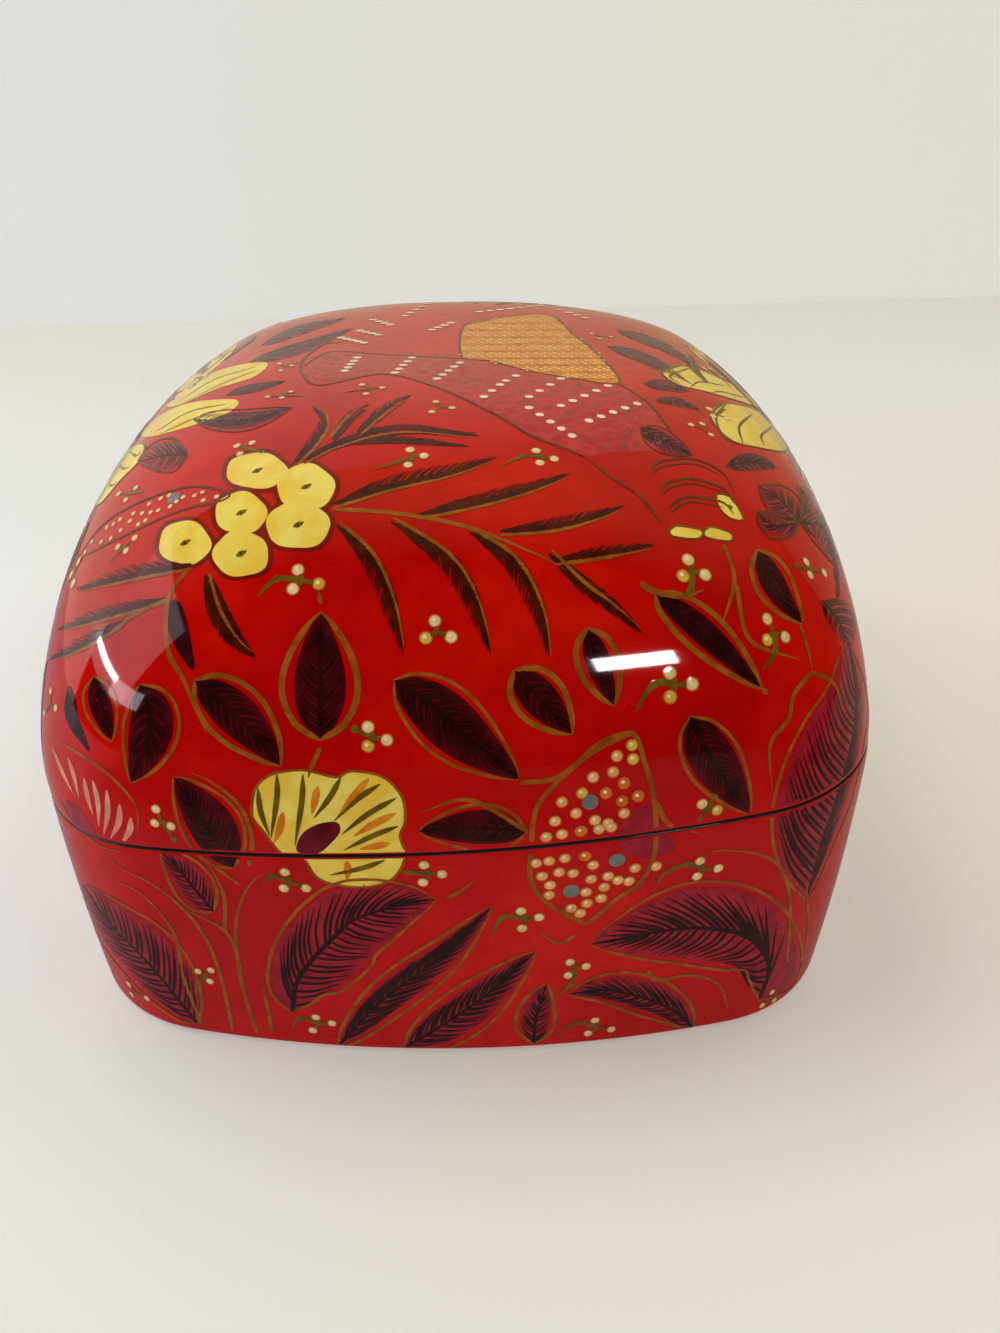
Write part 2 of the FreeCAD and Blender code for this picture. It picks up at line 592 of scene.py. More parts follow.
def brush(view, paint, points, width, head=0.25, tail=0.4):
    """A stroke of that width in pixels. It swells over its first part and runs out over its last part."""
    line = smooth_line(points)
    runs = {"lid": [[]], "base": [[]]}
    for number, place in enumerate(line):
        t = number / (len(line) - 1)
        swell = min(1, (t + even) / max(head, even)) * min(1, (1 + even - t) / max(tail, even))
        touched = view.touch(place)
        height = above_cut(touched[0]) if touched else 0
        for body, sign in (("lid", 1), ("base", -1)):
            if touched and height * sign > groove:
                point, normal, pixel = touched
                runs[body][-1].append((point, normal, max(width * swell**0.7 * pixel / 2, thinnest)))
            elif runs[body][-1]:
                runs[body].append([])
    for body, parts in runs.items():
        strokes.setdefault((body, paint), []).extend(part for part in parts if len(part) > 1)


def edging(view, paint, line, width):
    """A line of even width round a shape."""
    brush(view, paint, [*line, line[0], line[1]], width, even, even)


def wash(view, paint, points):
    """A flat patch of paint inside a line. It is parted at the saw cut."""
    middle = np.mean(points, axis=0)
    edge = [view.drawn_in(place, middle) for place in smooth_line(points, closed=True)]
    corners = np.array(edge)
    low, high = corners.min(axis=0), corners.max(axis=0)
    count = len(edge)
    loops = [(number, (number + 1) % count) for number in range(count)]
    places = [Vector(place) for place in edge]
    for row, v in enumerate(np.arange(low[1], high[1], wash_step)):
        for u in np.arange(low[0] + (row % 2) * wash_step / 2, high[0], wash_step):
            if inside((u, v), corners) and np.hypot(*(corners - (u, v)).T).min() > wash_step / 3:
                places.append(Vector((u, v)))
    flat_points, _, flat_faces, *_ = delaunay_2d_cdt(places, loops, [], 1, 1e-4)
    shape = bmesh.new()
    touches = [view.touch(place) for place in flat_points]
    made = [shape.verts.new(touched[0]) if touched else None for touched in touches]
    for face in flat_faces:
        if all(made[number] for number in face):
            shape.faces.new([made[number] for number in reversed(face)])
    for _ in range(4):
        long = [side for side in shape.edges if side.calc_length() > longest_side]
        bmesh.ops.subdivide_edges(shape, edges=long, cuts=1)
        bmesh.ops.triangulate(shape, faces=shape.faces[:])
    for body, sign in (("lid", 1), ("base", -1)):
        part = shape.copy()
        across_cut = Vector((-cut_slope, 0, 1)).normalized()
        middle = Vector((0, 0, box_sizes["Belly height"] + sign * groove))
        everything = part.verts[:] + part.edges[:] + part.faces[:]
        cut = {"plane_co": middle, "plane_no": across_cut, "clear_inner": sign > 0, "clear_outer": sign < 0}
        bmesh.ops.bisect_plane(part, geom=everything, **cut)
        if part.faces:
            washes.setdefault((body, paint), []).append(part)
        else:
            part.free()
    shape.free()


def inside(place, corners):
    """True if the place is inside the polygon."""
    x, y = place
    ends = np.roll(corners, -1, axis=0)
    crosses = (corners[:, 1] > y) != (ends[:, 1] > y)
    with np.errstate(divide="ignore", invalid="ignore"):
        reach = corners[:, 0] + (y - corners[:, 1]) * (ends[:, 0] - corners[:, 0]) / (ends[:, 1] - corners[:, 1])
    return bool(np.count_nonzero(crosses & (x < reach)) % 2)


def dot(view, paint, place, size):
    """A touch of the brush tip: a low round dome, size pixels across. It says whether it is clear of the saw cut."""
    touched = view.touch(place)
    if touched is None:
        return False
    point, normal, pixel = touched
    reach, height = size * pixel / 2, above_cut(point)
    clear = abs(height) > groove + reach
    if clear:
        dots.setdefault(("lid" if height > 0 else "base", paint), []).append((point, normal, reach))
    return clear


def paint_web(name):
    """A Geometry Nodes tree that turns the marks of one paint into a thin coat on the skin of a body."""
    inputs = {
        "Geometry": ("NodeSocketGeometry", None),
        "Skin": ("NodeSocketObject", None),
        "Lift": ("NodeSocketFloat", thinnest),
        "Crown": ("NodeSocketFloat", stroke_crown),
        "Material": ("NodeSocketMaterial", None),
    }
    return form_web(name, inputs, {"Geometry": "NodeSocketGeometry"})


def attribute(web, kind, name):
    """What every point carries under that name."""
    return web.add("GeometryNodeInputNamedAttribute", {"Name": name}, data_type=kind)


def vector(web, operation, *sockets):
    """Arithmetic on places or colours."""
    return web.add("ShaderNodeVectorMath", sockets, operation=operation)


def scaled(web, value, factor):
    """A direction or colour times a number."""
    return web.add("ShaderNodeVectorMath", {"Vector": value, "Scale": factor}, operation="SCALE")


def hug(web, geometry, given, lift):
    """Sets every point down on the skin, lift above it, and shades it with the skin."""
    skin = web.add("GeometryNodeObjectInfo", {"Object": given["Skin"]}).of("Geometry")
    on_skin = web.add("GeometryNodeProximity", {"Geometry": skin}, target_element="FACES")
    sampled = {"Mesh": skin, "Value": web.add("GeometryNodeInputNormal")}
    skin_facing = web.add("GeometryNodeSampleNearestSurface", sampled, data_type="FLOAT_VECTOR")
    where = vector(web, "ADD", on_skin.of("Position"), scaled(web, skin_facing, lift))
    laid = web.add("GeometryNodeSetPosition", {"Geometry": geometry, "Position": where})
    smooth = web.add("GeometryNodeSetShadeSmooth", {"Geometry": laid})
    shading = {"Mesh": smooth, "Custom Normal": skin_facing}
    return web.add("GeometryNodeSetMeshNormal", shading, mode="FREE", domain="POINT")


def finish_paint(web, geometry, given):
    """Gives the paint its material and ends the tree."""
    real = web.add("GeometryNodeRealizeInstances", {"Geometry": geometry})
    done = web.add("GeometryNodeSetMaterial", {"Geometry": real, "Material": given["Material"]})
    web.add("NodeGroupOutput", [done])
    return web.tree


def brush_tree():
    """Turns lines with a width and a facing at each point into strokes that lie on the skin."""
    web, given = paint_web("brush_strokes")
    facing = attribute(web, "FLOAT_VECTOR", "facing")
    lines = web.add("GeometryNodeMeshToCurve", {"Mesh": given["Geometry"]})
    leaned = web.add("GeometryNodeSetCurveNormal", {"Curve": lines, "Normal": facing}, mode="FREE")
    tip = web.add("GeometryNodeCurvePrimitiveLine", {"Start": (0, -1, 0), "End": (0, 1, 0)})
    tip = web.add("GeometryNodeResampleCurve", {"Curve": tip, "Count": tip_points})
    share = web.add("GeometryNodeSplineParameter").of("Factor")
    mark = {"Geometry": tip, "Name": "over", "Value": (share * math.pi).math("SINE")}
    marked = web.add("GeometryNodeStoreNamedAttribute", mark, data_type="FLOAT", domain="POINT")
    reach = attribute(web, "FLOAT", "reach")
    ribbon = web.add("GeometryNodeCurveToMesh", {"Curve": leaned, "Profile Curve": marked, "Scale": reach})
    over = attribute(web, "FLOAT", "over")
    return finish_paint(web, hug(web, ribbon, given, given["Lift"] + over * given["Crown"]), given)


def wash_tree():
    """Sets flat patches of paint down on the skin."""
    web, given = paint_web("paint_washes")
    return finish_paint(web, hug(web, given["Geometry"], given, given["Lift"]), given)


def dot_tree():
    """Puts a low dome on every point, turned to the skin and as large as the point says."""
    web, given = paint_web("paint_dots")
    facing, reach = attribute(web, "FLOAT_VECTOR", "facing"), attribute(web, "FLOAT", "reach")
    drop = web.add("GeometryNodeMeshUVSphere", {"Segments": 12, "Rings": 8, "Radius": 1})
    height = web.add("ShaderNodeSeparateXYZ", [web.add("GeometryNodeInputPosition")]).of("Z")
    below = {"Geometry": drop, "Selection": height.math("LESS_THAN", -0.01)}
    dome = web.add("GeometryNodeDeleteGeometry", below, domain="POINT")
    dome = web.add("GeometryNodeSetShadeSmooth", {"Geometry": dome})
    turn = web.add("FunctionNodeAlignRotationToVector", {"Vector": facing}, axis="Z")
    size = web.add("ShaderNodeCombineXYZ", [reach, reach, given["Crown"]])
    raised = {"Geometry": given["Geometry"], "Offset": scaled(web, facing, given["Lift"])}
    lifted = web.add("GeometryNodeSetPosition", raised)
    set_down = {"Points": lifted, "Instance": dome, "Rotation": turn, "Scale": size}
    return finish_paint(web, web.add("GeometryNodeInstanceOnPoints", set_down), given)


def marked_mesh(name, points, edges, facings, reaches):
    """Points and lines that carry a facing and a reach."""
    mesh = bpy.data.meshes.new(name)
    mesh.from_pydata(points, edges, [])
    mesh.attributes.new("facing", "FLOAT_VECTOR", "POINT").data.foreach_set("vector", np.ravel(facings))
    mesh.attributes.new("reach", "FLOAT", "POINT").data.foreach_set("value", reaches)
    return mesh


def stroke_source(parts):
    points, facings, reaches = zip(*(touched for part in parts for touched in part))
    edges, first = [], 0
    for part in parts:
        edges += [(number, number + 1) for number in range(first, first + len(part) - 1)]
        first += len(part)
    return marked_mesh("strokes", points, edges, facings, reaches)


def dot_source(spots):
    points, facings, reaches = zip(*spots)
    return marked_mesh("dots", points, [], facings, reaches)


def wash_source(parts):
    mesh = bpy.data.meshes.new("washes")
    whole = bmesh.new()
    for part in parts:
        part.to_mesh(mesh)
        whole.from_mesh(mesh)
        part.free()
    whole.to_mesh(mesh)
    whole.free()
    return mesh


def paint_all(tree, sources, source_of, paints, lift):
    """One piece per body and paint, from all that was brushed with that paint. The thinnest lies lift mm off."""
    materials = {name: pigment(name, dark, light, *grain) for name, (dark, light, _, *grain) in paints.items()}
    levels = {name: (lift + level) * MM for name, (_, _, level, *_) in paints.items()}
    for body, skin in (("base", base), ("lid", lid)):
        for paint, level in levels.items():
            if sources.get((body, paint)):
                values = {"Skin": skin, "Lift": level, "Crown": stroke_crown, "Material": materials[paint]}
                piece = grown(f"{body}_{paint}", tree, values, source_of(sources[body, paint]))
                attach(piece, body)


# The motifs of the ornament: leaves, feathers, berries, discs, petals, pods and fans. Each is a few washes,
# strokes and dots that follow lines of the photograph.
leaf_fullness = 0.8
barb_bow = 0.12
shortest_barb = 3
leaf_edge_step = 5
line_step = 4


def offset(points, reach):
    """The line moved sideways by reach, a number or a function of the share along it. Left is positive."""
    line = smooth_line(points)
    moved = []
    for number, place in enumerate(line):
        ahead = line[min(number + 1, len(line) - 1)] - line[max(number - 1, 0)]
        t = number / (len(line) - 1)
        side = np.array((ahead[1], -ahead[0])) / max(tiny, float(np.hypot(*ahead)))
        moved.append(place + side * (reach(t) if callable(reach) else reach))
    return moved


def lens(width, belly=0.42):
    """Half width of a leaf along its rib, widest at the share belly."""
    bend = math.log(0.5) / math.log(belly)
    return lambda t: width * max(0.0, math.sin(math.pi * min(1.0, t) ** bend)) ** leaf_fullness


def barbs(view, rib, edge, pitch, width, lead=0.2, paint="ink", start=0.04, stop=0.93):
    """Short strokes from the rib to the edge, leaning towards the tip, as in a feather."""
    rib = smooth_line(rib)
    last = len(rib) - 1
    count = max(3, round(len(rib) * brush_step / pitch))
    for number in range(count):
        t = start + (stop - start) * (number + hand.uniform(-0.15, 0.15)) / count
        root = rib[round(max(0, t) * last)]
        end = edge[round(min(1, max(0, t) + lead) * (len(edge) - 1))]
        end = root + (end - root) * hand.uniform(0.84, 0.97)
        ahead = rib[min(last, round((t + lead) * last))] - root
        middle = (root + end) / 2 - ahead * barb_bow + (end - root)[::-1] * (0.02, -0.02)
        if float(np.hypot(*(end - root))) > shortest_barb:
            brush(view, paint, [root, middle, end], width * hand.uniform(0.8, 1.15), head=0.15, tail=0.6)


def leaf(view, rib, left, right, fill="maroon", edge="ochre", gap=5, pitch=6, ink=2.1, spine=3.6, edge_width=3.6):
    """A leaf: body colour either side of the rib, hatched with ink and outlined a little off its edge."""
    if not view.sees(rib):
        return
    left_edge, right_edge = offset(rib, lens(left)), offset(rib, lens(-right))
    wash(view, fill, (left_edge + right_edge[::-1])[::leaf_edge_step])
    barbs(view, rib, left_edge, pitch, ink)
    barbs(view, rib, right_edge, pitch, ink)
    brush(view, "ink", rib, spine, head=0.05, tail=0.6)
    if edge:
        for reach in (left + gap, -(right + gap)):
            line = offset(rib, lens(reach))
            brush(view, edge, line[::line_step] + line[-1:], edge_width, head=0.1, tail=0.2)


def feather(view, rib, left, right, pitch=5, stem="ochre", width=2.0):
    """A frond: no body colour, only a rib with barbs and a pale stem line beside it."""
    if not view.sees(rib):
        return
    broad_side = 1 if left > right else -1
    if stem:
        brush(view, stem, offset(rib, -2.5 * broad_side)[::line_step], 4.5, head=0.1, tail=0.5)
    brush(view, "sepia", offset(rib, 2 * broad_side)[::line_step], 8, head=0.2, tail=0.7)
    for reach in (left, -right):
        barbs(view, rib, offset(rib, lens(reach, 0.5)), pitch, width, lead=0.12, paint="sepia")


def berries(view, places, size=12, stalk=()):
    """Three pearls with an olive stalk. Each pearl has a darker ring and a pale middle."""
    if not view.sees(places):
        return
    middle = np.mean(places, axis=0)
    for number, place in enumerate(places):
        brush(view, "olive", [middle, place], size * 0.35, head=0.1, tail=0.1)
        pearl(view, place, size, "green_gold" if number == 1 and size > 12 else "cream")
    if stalk:
        brush(view, "olive", [middle, *stalk], size * 0.45, head=0.1, tail=0.5)
        dot(view, "olive_dots", stalk[0], size * 0.6)


def pearl(view, place, size, paint="cream"):
    """A darker ring, the pearl in it and a light on the pearl, if there is room for it beside the saw cut."""
    if dot(view, "amber", place, size):
        dot(view, paint, place, size * 0.8)
        dot(view, "light_dots", (place[0] - size * 0.08, place[1] - size * 0.08), size * 0.32)


def disc(view, place, across, down):
    """A yellow disc flower: a soft dark ring under it, a wavy edge and an olive eye."""
    if not view.sees([place]):
        return
    phase = hand.uniform(0, 6)
    corners = 20
    for paint, grow in (("shade", 5), ("yellow", 0)):
        line = []
        for number in range(corners):
            turn = number * math.tau / corners
            wave = 1 + 0.035 * math.sin(turn * 5 + phase) + 0.02 * math.sin(turn * 3)
            u = place[0] + (across / 2 + grow) * wave * math.cos(turn)
            v = place[1] + (down / 2 + grow * 0.8) * wave * math.sin(turn)
            line.append((u, v))
        wash(view, paint, line)
    eye_line = [(place[0] - 5, place[1] + 2), place, (place[0] + 6, place[1] - 3)]
    brush(view, "olive", eye_line, 7, head=0.4, tail=0.4)
    dot(view, "ink_dots", place, 5)


def petal(view, paint, line, edge=None, edge_width=4.0, lines=()):
    """A wash with an outline and some olive lines on it."""
    if not view.sees(line):
        return
    wash(view, paint, line)
    if edge:
        edging(view, edge, line, edge_width)
    for stroke in lines:
        brush(view, "olive", stroke, 3, head=0.2, tail=0.3)


def stems(view, width, *lines):
    """Ochre lines, thick at the root and thin at the tip."""
    for line in lines:
        if view.sees(line):
            brush(view, "ochre", line, width, head=0.05, tail=0.5)


def sprinkle(view, line, size, gap):
    """Pearls that fill a shape at random, none closer than gap."""
    if not view.sees(line):
        return
    corners = np.array(smooth_line(line, closed=True))
    low, high = corners.min(axis=0), corners.max(axis=0)
    placed = []
    for _ in range(900):
        place = np.array((hand.uniform(low[0], high[0]), hand.uniform(low[1], high[1])))
        clear = all(np.hypot(*(place - other)) > gap for other in placed)
        if clear and inside(place, corners) and np.hypot(*(corners - place).T).min() > size * 0.6:
            placed.append(place)
            pearl(view, place, size)


def scallop(view):
    """The yellow scalloped flower that crosses the saw cut."""
    rim = [
        (252, 815), (254, 792), (270, 775), (303, 770), (335, 777), (352, 771), (383, 777), (402, 797),
        (405, 821), (400, 836), (405, 852), (401, 868), (390, 880), (366, 887), (335, 884), (316, 876),
        (303, 858), (281, 852), (266, 834),
    ]
    if not view.sees(rim):
        return
    wash(view, "yellow", rim)
    edging(view, "ochre", rim, 2.8)
    olive_stripes = [
        [(258, 788), (261, 812), (270, 836)], [(277, 774), (277, 798), (271, 838)],
        [(303, 774), (302, 800), (295, 846)], [(341, 777), (330, 797), (314, 818)],
        [(380, 784), (356, 800), (334, 821)], [(396, 798), (368, 814), (342, 834)],
        [(398, 826), (372, 836), (344, 850)], [(385, 860), (362, 868), (330, 875)],
    ]
    orange_stripes = [
        [(283, 812), (280, 828), (274, 843)], [(318, 786), (315, 800), (312, 814)],
        [(369, 778), (354, 796), (340, 814)], [(396, 813), (374, 824), (354, 836)],
        [(390, 843), (376, 846), (360, 849)], [(347, 861), (348, 870), (347, 880)],
    ]
    for paint, width, stripes in (("olive", 6, olive_stripes), ("orange", 8, orange_stripes)):
        for stripe in stripes:
            brush(view, paint, stripe, width, head=0.25, tail=0.45)
    heart = [(297, 851), (302, 834), (318, 824), (337, 822), (340, 832), (331, 843), (318, 853)]
    wash(view, "maroon_over", heart)


def pod(view):
    """The pomegranate pod full of pearls that crosses the saw cut."""
    line = [
        (631, 733), (594, 751), (556, 783), (536, 810), (531, 850), (531, 880), (547, 902), (578, 920),
        (590, 921), (616, 899), (640, 882), (655, 850), (654, 800), (645, 764),
    ]
    if not view.sees(line):
        return
    edging(view, "ochre", line, 5)
    brush(view, "ochre", [(655, 800), (670, 825), (700, 833)], 5, head=0.1, tail=0.5)
    shadow = [(618, 838), (624, 820), (640, 806), (654, 812), (664, 832), (676, 848), (645, 858), (622, 850)]
    wash(view, "maroon", shadow)
    pearls = [
        (632, 745), (617, 756), (633, 759), (613, 772), (593, 777), (606, 793), (624, 783), (638, 796), (582, 793),
        (562, 802), (576, 813), (555, 821), (595, 820), (608, 823), (624, 813), (622, 801), (562, 834), (581, 831),
        (599, 829), (611, 827), (546, 837), (536, 863), (549, 861), (565, 858), (585, 856), (593, 865), (635, 868),
        (656, 866), (542, 876), (559, 872), (573, 873), (591, 879), (608, 876), (618, 880), (629, 881), (550, 885),
        (549, 895), (604, 887), (586, 892), (601, 898), (571, 908), (587, 903), (580, 913),
    ]
    green, orange = (0, 2, 8), (5, 6, 7, 15, 17, 24)
    for number, place in enumerate(pearls):
        paint = "green_gold" if number in green else "orange_dots" if number in orange else "peach_dots"
        pearl(view, place, 13, paint)
    for place in ((590, 802), (617, 860), (571, 891)):
        dot(view, "grey_dots", place, 17)


def peach_fan(view):
    """The striped fan at the left corner."""
    stripes = [
        [(53, 748), (62, 770), (73, 793)], [(68, 757), (74, 775), (79, 797)], [(84, 777), (88, 797), (93, 815)],
        [(93, 780), (98, 802), (99, 826)], [(107, 790), (108, 812), (104, 834)], [(120, 804), (119, 822), (111, 838)],
        [(131, 817), (130, 830), (122, 843)],
    ]
    if not view.sees(stripes[0]):
        return
    for stripe in stripes:
        brush(view, "peach", stripe, 7, head=0.3, tail=0.5)
    brush(view, "ochre", [(58, 741), (85, 757), (115, 780), (136, 806), (138, 832)], 3.5, head=0.2, tail=0.4)
    wash(view, "maroon", [(66, 800), (80, 808), (97, 835), (84, 832), (71, 818)])
    stems(view, 4, [(60, 800), (75, 825), (100, 845), (122, 852)])


def foot_leaves(view):
    """The leaves that grow up from the foot of the base."""
    left_rib = [(292, 1012), (300, 976), (335, 936), (356, 919), (399, 905), (436, 899)]
    right_rib = [(759, 1000), (769, 968), (756, 943), (731, 931), (689, 928), (645, 934), (590, 944)]
    leaf(view, left_rib, 40, 42, pitch=8.5, ink=3.5, spine=5)
    leaf(view, [(338, 1046), (383, 1000), (446, 952), (492, 906)], 14, 17, pitch=5, ink=2.3, gap=6)
    leaf(view, [(404, 1048), (450, 1020), (487, 994), (536, 951)], 18, 20, pitch=5, ink=2.3, gap=6)
    leaf(view, [(534, 1044), (536, 1018), (547, 983)], 15, 14, pitch=5, ink=2.3)
    leaf(view, [(694, 1029), (673, 1010), (641, 997), (603, 990), (568, 994)], 13, 18, pitch=5.5, ink=2.3)
    leaf(view, right_rib, 34, 42, pitch=9, ink=3.9, spine=5.5, gap=6)
    leaf(view, [(198, 1024), (153, 968), (112, 925), (83, 884)], 20, 30, pitch=9, ink=3.7, spine=4.5)
    leaf(view, [(214, 912), (198, 893), (178, 868), (160, 850)], 13, 16, pitch=6, ink=2.3)
    leaf(view, [(806, 900), (822, 840), (842, 780), (858, 700), (848, 640)], 56, 10, pitch=9, ink=3.7)
    stems(
        view,
        4,
        [(233, 1030), (223, 984), (210, 946), (191, 917), (159, 888), (124, 869), (100, 850)],
        [(246, 1000), (232, 940), (204, 918), (172, 906)],
        [(257, 1033), (242, 984), (236, 939), (239, 908), (252, 882), (271, 869)],
        [(272, 1033), (268, 1008), (262, 985)],
        [(202, 1024), (184, 978), (174, 933), (143, 895), (108, 877)],
        [(239, 884), (210, 862), (204, 850)],
        [(446, 898), (462, 890), (476, 878)],
        [(787, 962), (790, 908), (783, 872), (762, 855), (724, 850), (700, 855)],
        [(648, 970), (656, 980), (689, 975), (718, 984), (729, 1012)],
        [(575, 935), (558, 943), (540, 932)],
        [(800, 962), (808, 930), (806, 880)],
        [(225, 932), (224, 895), (208, 862)],
    )
    berries(view, [(285, 872), (284, 888), (306, 888)], 12, [(272, 876), (262, 884)])
    berries(view, [(424, 865), (442, 874), (423, 882)], 12, [(408, 872), (398, 870)])
    berries(view, [(198, 971), (211, 970), (210, 981)], 9, [(198, 985), (195, 996)])
    berries(view, [(129, 984), (132, 994), (147, 998)], 9)
    berries(view, [(316, 1017), (332, 1023), (313, 1030)], 10, [(300, 1018), (292, 1028)])
    berries(view, [(521, 911), (539, 917), (522, 928)], 12, [(503, 917), (491, 938)])
    berries(view, [(570, 962), (586, 966), (568, 975)], 11, [(571, 984), (556, 996)])
    berries(view, [(595, 1020), (611, 1029), (588, 1033)], 10, [(577, 1023), (556, 1036)])
    berries(view, [(772, 992), (774, 1000), (762, 1005)], 8)
    berries(view, [(700, 861), (718, 868), (697, 876)], 12, [(686, 864), (664, 874), (656, 886)])


def dark_leaf(view, rib, left, right, pitch=5, **style):
    """A leaf in the dark body colour of the lid's front wall."""
    leaf(view, rib, left, right, "deep", pitch=pitch, **style)


def shoulder_leaves(view):
    """The leaves and berries on the front wall of the lid."""
    dark_leaf(view, [(320, 740), (321, 680), (321, 612)], 27, 25, gap=12, edge_width=6.5, spine=5)
    stems(view, 5, [(320, 748), (312, 766), (308, 778)], [(321, 604), (319, 592)])
    dark_leaf(view, [(195, 680), (230, 710), (258, 738), (281, 766)], 22, 20, gap=8, edge_width=5.5, spine=5)
    stems(view, 5.5, [(175, 585), (167, 606), (168, 650), (184, 680), (196, 710), (207, 733)])
    petal(view, "ink_wash", [(171, 601), (182, 606), (191, 640), (194, 670), (180, 655), (169, 630)])
    dark_leaf(view, [(140, 684), (150, 716), (144, 750), (131, 783)], 24, 20, pitch=4.5, gap=6, spine=6)
    dark_leaf(view, [(94, 676), (102, 706), (112, 742)], 10, 12)
    dark_leaf(view, [(70, 686), (72, 718), (90, 752)], 7, 6, pitch=6, edge=None)
    dark_leaf(view, [(394, 680), (432, 706), (468, 738), (520, 779)], 26, 28, gap=7, spine=7)
    dark_leaf(view, [(527, 832), (480, 828), (418, 831)], 16, 18, gap=6)
    dark_leaf(view, [(514, 670), (540, 700), (572, 734)], 19, 17, gap=7, edge_width=6)
    dark_leaf(view, [(588, 628), (598, 664), (614, 706)], 13, 12, gap=8, edge_width=6)
    dark_leaf(view, [(655, 594), (700, 630), (762, 689)], 14, 12, gap=7, edge_width=6)
    stems(view, 7, [(640, 583), (656, 592), (684, 596), (704, 590)], [(762, 689), (768, 694)])
    dark_leaf(view, [(757, 550), (776, 590), (802, 624)], 13, 11, gap=6, edge_width=5.5)
    dark_leaf(view, [(690, 716), (712, 760), (750, 814)], 24, 22, pitch=6, gap=5, spine=6)
    dark_leaf(view, [(234, 868), (214, 836), (192, 804), (174, 776)], 18, 26, pitch=5.5, gap=7, spine=6)
    stems(view, 4.5, [(249, 866), (252, 838), (240, 806), (212, 782), (190, 772)])
    stems(view, 4.5, [(800, 625), (808, 650), (812, 672)])
    stems(
        view,
        5,
        [(812, 672), (794, 694), (788, 719), (770, 745), (772, 790)],
        [(812, 672), (832, 682), (840, 700)],
        [(724, 545), (734, 580), (722, 625)],
        [(736, 585), (750, 640), (800, 660)],
        [(528, 832), (470, 800), (420, 812)],
        [(520, 783), (560, 776), (600, 742), (629, 730)],
    )
    berries(view, [(298, 570), (319, 584), (293, 589)], 14, [(277, 579), (258, 596)])
    berries(view, [(435, 621), (426, 638), (451, 637)], 14)
    berries(view, [(368, 727), (368, 746), (387, 740)], 14, [(355, 729)])
    berries(view, [(156, 809), (155, 823), (171, 826)], 11, [(174, 839)])
    berries(view, [(51, 691), (45, 713), (56, 708)], 9)
    berries(view, [(688, 560), (683, 576), (705, 575)], 15, [(690, 592), (676, 598)])
    berries(view, [(767, 619), (767, 640), (785, 637)], 14, [(775, 652), (762, 670)])
    berries(view, [(670, 673), (670, 697), (692, 684)], 15, [(654, 684), (635, 712)])
    berries(view, [(806, 562), (810, 575), (824, 573)], 11, [(796, 566)])
    berries(view, [(702, 804), (717, 810), (697, 821)], 13, [(714, 797)])


def spray_feathers(view):
    """The feathers that fan out from the disc flowers over the shoulder. A row has the rib, how far the barbs
    reach to the left and right of it, and their pitch."""
    feather(view, [(207, 574), (218, 610), (236, 640), (256, 658)], 12, 13, pitch=4, width=5)
    for row in (
        ([(338, 524), (372, 556), (392, 600), (403, 655)], 6, 16, 4),
        ([(392, 520), (446, 554), (474, 595), (491, 656)], 6, 17, 4),
        ([(470, 530), (515, 560), (540, 606), (549, 656)], 6, 16, 4),
        ([(550, 552), (584, 585), (612, 606), (643, 634)], 9, 9, 4),
        ([(554, 562), (600, 556), (656, 545)], 11, 5, 5),
        ([(500, 533), (556, 528), (600, 516), (626, 505)], 12, 3, 5),
        ([(416, 517), (480, 504), (530, 490), (572, 473)], 12, 3, 5),
        ([(332, 506), (390, 488), (450, 474), (498, 457)], 14, 3, 5),
        ([(303, 462), (340, 444), (400, 430), (482, 436)], 7, 6, 5),
        ([(334, 446), (390, 442), (470, 447)], 7, 2, 5, None),
        ([(358, 434), (384, 412), (413, 394)], 8, 6, 4.5),
        ([(332, 440), (348, 420), (370, 404)], 7, 7, 4.5),
        ([(295, 464), (318, 440), (326, 420), (312, 406)], 10, 3, 4.5),
        ([(192, 566), (140, 576), (76, 590)], 3, 14, 4.5),
        ([(166, 600), (110, 616), (56, 630)], 3, 12, 4.5),
        ([(124, 622), (84, 646), (48, 660)], 3, 11, 4.5),
    ):
        feather(view, *row)
    stems(
        view,
        5,
        [(332, 509), (400, 514), (470, 528), (540, 556), (566, 570)],
        [(190, 568), (176, 584), (168, 600)],
        [(168, 600), (140, 612), (100, 640)],
    )
    berries(view, [(410, 450), (424, 456), (408, 465)], 11, [(398, 462), (372, 470)])
    berries(view, [(536, 451), (554, 459), (540, 463)], 11, [(524, 456), (502, 466)])
    berries(view, [(436, 402), (452, 408), (432, 412)], 9)
    berries(view, [(237, 446), (252, 443), (240, 454)], 9, [(262, 452)])


def disc_flowers(view):
    """The six yellow discs that the feathers spring from."""
    for place, across, down in (
        ((257, 471), 62, 36), ((306, 487), 58, 46), ((241, 513), 52, 42), ((298, 525), 64, 48), ((185, 543), 52, 44),
        ((241, 554), 56, 46),
    ):
        disc(view, place, across, down)


